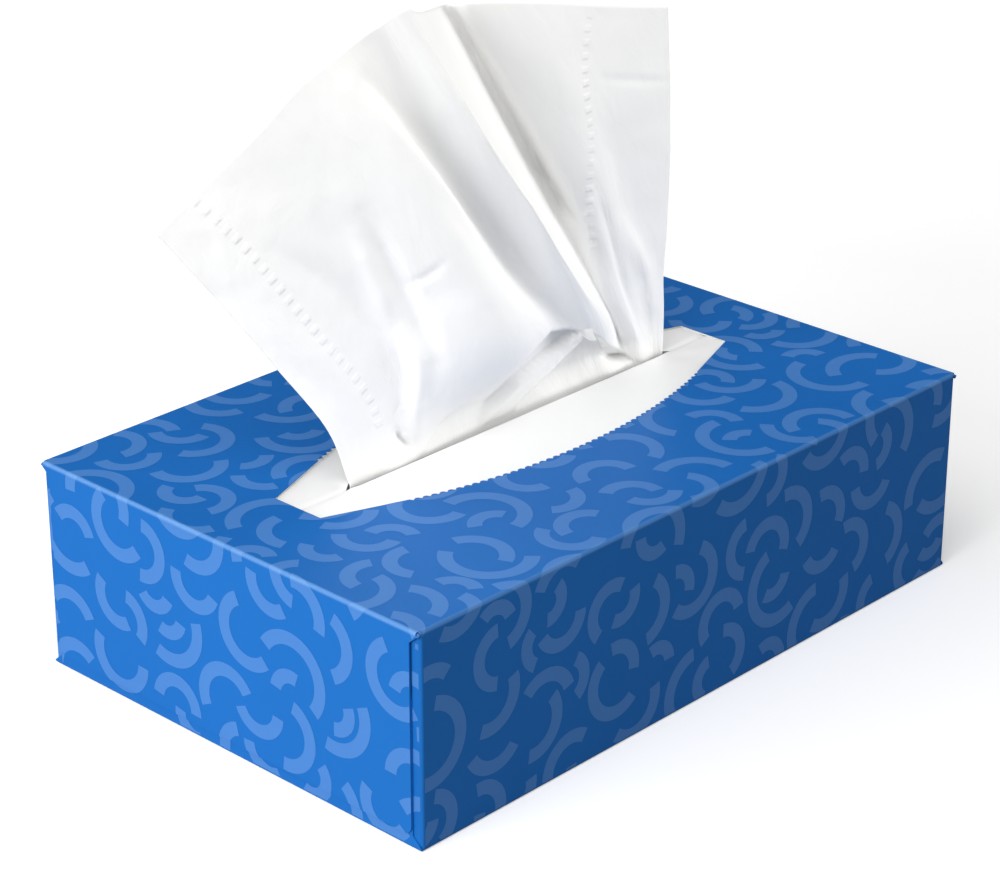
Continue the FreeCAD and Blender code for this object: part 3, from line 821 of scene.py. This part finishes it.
# Film under the top panel, slit open along the middle
film = {
    "colour": (0.87, 0.87, 0.865),
    "shade": 0.97,
    "roughness": 0.45,
    "grain": (300, 70),
    "relief": (0.2, 0.0004),
    "columns": 150, "halfRows": 35,
    "crowding": 1.3,        # rows lie closer together near the slit
    "thickness": 0.08,      # mm, as all below
    "under": 0.04,
    "taper": 6.0, "taperLeft": 2.6, "closedLeft": 2.2,
    "lipLift": 0.5, "lipFade": 2.5, "mostLift": 0.42,
    "grooveDepth": 0.5, "grooveWidth": 0.8,
    "ripple": 0.16, "rippleLength": 9, "rippleWidth": 4, "rippleReach": 14, "rippleSeed": 2.0,
    "calmRows": 4,
}


def slitHalf(x):
    # half the gap between the lips: closed close to the tissue on the left, tapered on the right
    half = tissue["slitLength"] / 2
    if x < 0:
        room = (half - film["closedLeft"] + x) / film["taperLeft"]
    else:
        room = (half - x) / film["taper"]
    return tissue["slitWidth"] / 2 * max(0.0, min(1.0, room))


def addFilm():
    lowCorner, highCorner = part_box("slit_film")
    halfX, halfY, top = highCorner[0] / mm, highCorner[1] / mm, highCorner[2] / mm
    mesh = bmesh.new()
    for side in (-1, 1):
        grid = []
        for i in range(film["columns"] + 1):
            x = -halfX + 2 * halfX * i / film["columns"]
            lip = slitHalf(x)
            opened = lip / (tissue["slitWidth"] / 2)
            line = []
            for j in range(film["halfRows"] + 1):
                y = lip + (halfY - lip) * (j / film["halfRows"]) ** film["crowding"]
                groove = film["grooveDepth"] * (1 - opened) * math.exp(-(y / film["grooveWidth"]) ** 2)
                lift = film["lipLift"] * opened * math.exp(-(y - lip) / film["lipFade"])
                spot = (x / film["rippleLength"], side * y / film["rippleWidth"], film["rippleSeed"])
                ripple = film["ripple"] * noise.noise(Vector(spot))
                ripple *= math.exp(-(y / film["rippleReach"]) ** 2) * min(1, j / film["calmRows"])
                z = top + min(lift + ripple, film["mostLift"]) - film["under"] - groove
                line.append((x, side * y, z))
            grid.append([mesh.verts.new(Vector(p) * mm) for p in line])
        for i in range(film["columns"]):
            for j in range(film["halfRows"]):
                quad = [grid[i][j], grid[i + 1][j], grid[i + 1][j + 1], grid[i][j + 1]]
                mesh.faces.new(quad if side > 0 else quad[::-1])
    bmesh.ops.remove_doubles(mesh, verts=mesh.verts, dist=1e-6)
    piece = newPiece("slitFilm", meshFrom(mesh, "slitFilm"), filmPlastic())
    smoothShell(piece, film["thickness"], -1)
    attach(piece, "root")
    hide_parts("slit_film")
    print("film: %d faces" % len(piece.data.polygons))
    return piece


def filmPlastic():
    material, nodes, links, shader = newMaterial("whiteFilm")
    place = nodes.new("ShaderNodeTexCoord")
    grain = addGrain(nodes, links, place.outputs["Object"], *film["grain"])
    shaded = [c * film["shade"] for c in film["colour"]]
    colour = mixColours(nodes, links, grain.outputs["Cloud"], shaded, film["colour"])
    links.new(colour, shader.inputs["Base Color"])
    shader.inputs["Roughness"].default_value = film["roughness"]
    addBump(nodes, links, grain.outputs["Cloud"], shader, film["relief"])
    return material


# Pile of folded tissues inside the carton
pile = {
    "sheets": 36,
    "bulge": 0.7, "draw": 0.8,          # mm, round edge of a layer, and how far one may lie back
    "colour": (0.92, 0.92, 0.91),
    "shade": 0.95,
    "roughness": 0.95,
    "grain": (1200, 40),
    "relief": (0.3, 0.00008),
}


def addPile():
    lowCorner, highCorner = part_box("tissue_stack")
    layer = (highCorner[2] - lowCorner[2]) / pile["sheets"]
    bulge = pile["bulge"] * mm
    outline = []
    for side in (1, -1):
        for k in range(pile["sheets"])[::side]:
            draw = random.Random(k * 7 + side).uniform(0, pile["draw"]) * mm
            for i in range(4):
                a = math.radians(-90 + 45 * i) * side
                y = side * (highCorner[1] - bulge - draw + bulge * math.cos(a))
                z = lowCorner[2] + layer * (k + 0.5 + 0.5 * math.sin(a))
                outline.append((y, z))
    mesh = bmesh.new()
    ends = []
    for x in (lowCorner[0], highCorner[0]):
        ends.append([mesh.verts.new((x, y, z)) for y, z in outline])
    count = len(outline)
    for i in range(count):
        j = (i + 1) % count
        mesh.faces.new((ends[0][i], ends[0][j], ends[1][j], ends[1][i]))
    mesh.faces.new(ends[0][::-1])
    mesh.faces.new(ends[1])
    bmesh.ops.remove_doubles(mesh, verts=mesh.verts, dist=1e-7)
    bmesh.ops.recalc_face_normals(mesh, faces=mesh.faces)
    data = meshFrom(mesh, "tissuePile")
    piece = newPiece("tissuePile", data, pilePaper())
    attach(piece, "root")
    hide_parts("tissue_stack")
    print("pile: %d faces" % len(data.polygons))


def pilePaper():
    material, nodes, links, shader = newMaterial("pilePaper")
    place = nodes.new("ShaderNodeTexCoord")
    grain = addGrain(nodes, links, place.outputs["Object"], *pile["grain"])
    shaded = [c * pile["shade"] for c in pile["colour"]]
    colour = mixColours(nodes, links, grain.outputs["Cloud"], shaded, pile["colour"])
    links.new(colour, shader.inputs["Base Color"])
    shader.inputs["Roughness"].default_value = pile["roughness"]
    addBump(nodes, links, grain.outputs["Fibre"], shader, pile["relief"])
    return material


# Pale floor and soft studio light; the fill lamp is flagged: it only reaches the tissue and the film
studio = {
    "world": 0.12, "worldShine": 0.12,
    "aim": (0, 0, 0.07),
    "lamps": {      # direction from the box, distance in metres, size, light level at the box
        "above": ((-0.40, -0.40, 0.82), 1.7, 1.5, 0.72),
        "left": ((-0.96, 0.05, 0.28), 2.0, 1.3, 0.88),
        "behind": ((-0.30, 0.92, 0.34), 2.0, 1.2, 0.50),
        "fill": ((0.80, -0.58, 0.18), 2.0, 1.2, 0.82),
    },
    "floorSize": 8,
    "floor": 0.93, "floorBounce": 0.38,
    "floorRoughness": 0.9, "floorSpecular": 0.1,
    "floorGlow": (0.27, 0.95), "glowReach": (0.3, 1.3),     # levels, and metres from the middle
}


def addStudio(*flagged):
    world = bpy.data.worlds.new("studio")
    bpy.context.scene.world = world
    world.use_nodes = True
    nodes, links = world.node_tree.nodes, world.node_tree.links
    background = nodes["Background"]
    path = nodes.new("ShaderNodeLightPath")
    shine = addMath(nodes, links, "MULTIPLY", path.outputs["Is Glossy Ray"], studio["worldShine"])
    seen = addMath(nodes, links, "MAXIMUM", path.outputs["Is Camera Ray"], shine)
    level = addMath(nodes, links, "MAXIMUM", seen, studio["world"])
    links.new(level, background.inputs["Strength"])
    background.inputs["Color"].default_value = (1, 1, 1, 1)
    aim = Vector(studio["aim"])
    for name, (direction, distance, size, level) in studio["lamps"].items():
        place = aim + Vector(direction).normalized() * distance
        turn = (aim - place).to_track_quat("-Z", "Y").to_euler()
        bpy.ops.object.light_add(type="AREA", location=place, rotation=turn)
        lamp = bpy.context.object
        lamp.name = name + "Lamp"
        lamp.data.energy = level * (math.pi * distance) ** 2    # watts for that level at the box
        lamp.data.size = size
        if name == "fill":
            reached = bpy.data.collections.new("fillReach")
            for piece in flagged:
                reached.objects.link(piece)
            lamp.light_linking.receiver_collection = reached
    bpy.ops.mesh.primitive_plane_add(size=studio["floorSize"], location=(0, 0, 0))
    floor = bpy.context.object
    floor.name = "floor"
    material, nodes, links, shader = newMaterial("paleFloor")
    seen = nodes.new("ShaderNodeLightPath").outputs["Is Camera Ray"]
    greys = ([studio[name]] * 3 for name in ("floorBounce", "floor"))
    links.new(mixColours(nodes, links, seen, *greys), shader.inputs["Base Color"])
    shader.inputs["Roughness"].default_value = studio["floorRoughness"]
    shader.inputs["Specular IOR Level"].default_value = studio["floorSpecular"]
    shader.inputs["Emission Color"].default_value = (1, 1, 1, 1)
    # the floor runs out to white, and keeps the shadow round the box
    place = nodes.new("ShaderNodeTexCoord")
    away = nodes.new("ShaderNodeVectorMath")
    away.operation = "LENGTH"
    links.new(place.outputs["Object"], away.inputs[0])
    run = mapRange(nodes, links, away.outputs["Value"], studio["glowReach"], studio["floorGlow"])
    glow = addMath(nodes, links, "MULTIPLY", seen, run)
    links.new(glow, shader.inputs["Emission Strength"])
    floor.data.materials.append(material)
    print("studio: %d lamps" % len(studio["lamps"]))


addCamera()
dressCarton()
addPrint()
cover = addFilm()
addPile()
raised = addTissue()
addStudio(raised, cover)
bpy.context.scene.view_settings.view_transform = "Standard"
print("scene ready")
